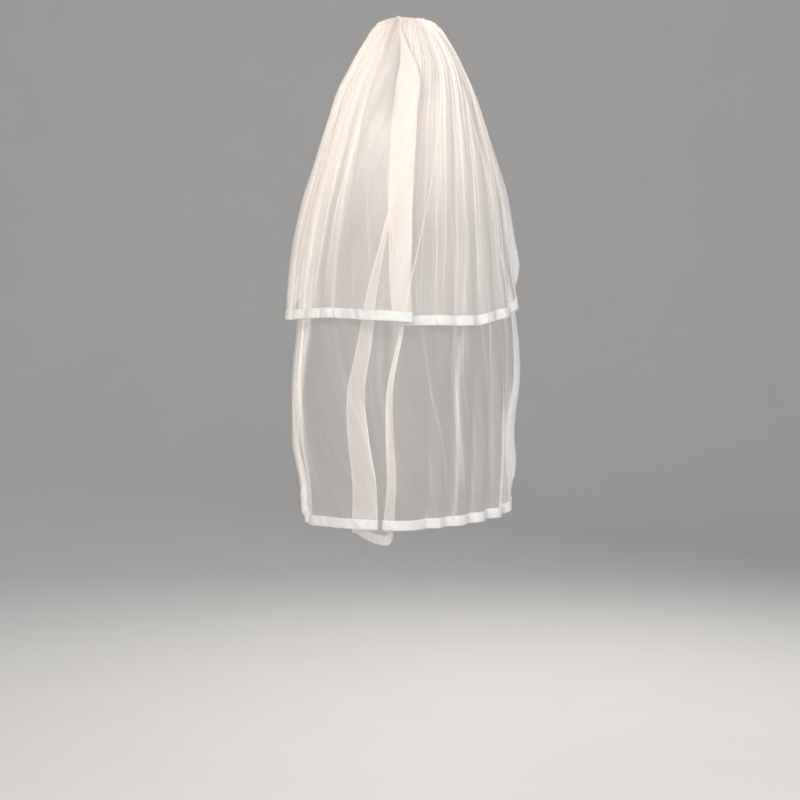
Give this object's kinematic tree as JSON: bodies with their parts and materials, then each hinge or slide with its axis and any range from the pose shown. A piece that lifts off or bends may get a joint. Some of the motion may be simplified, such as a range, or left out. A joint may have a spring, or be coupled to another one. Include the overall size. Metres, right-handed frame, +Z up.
{
  "type": "bridal veil",
  "caption": "Tiered bridal veil of soft ivory tulle edged with satin ribbon, gathered onto a hair comb and hanging in folds over head, shoulders and back, open at the front.",
  "frame": {"origin": "middle of the comb's bar, where the veil is pinned in the hair at the crown of the head", "axes": "+Z up, the wearer faces +Y so the cloth hangs at -Y, +X to the wearer's right as seen from the back"},
  "size_m": [0.5246, 0.3335, 1.1383],
  "materials": {
    "ivory_tulle": "sheer soft net",
    "ivory_satin": "satin",
    "clear_plastic": "clear, polished"
  },
  "bodies": {
    "root": {"long_net": "ivory_tulle", "short_net": "ivory_tulle", "long_ribbon": "ivory_satin", "short_ribbon": "ivory_satin", "comb": "clear_plastic"}
  },
  "joints": []
}
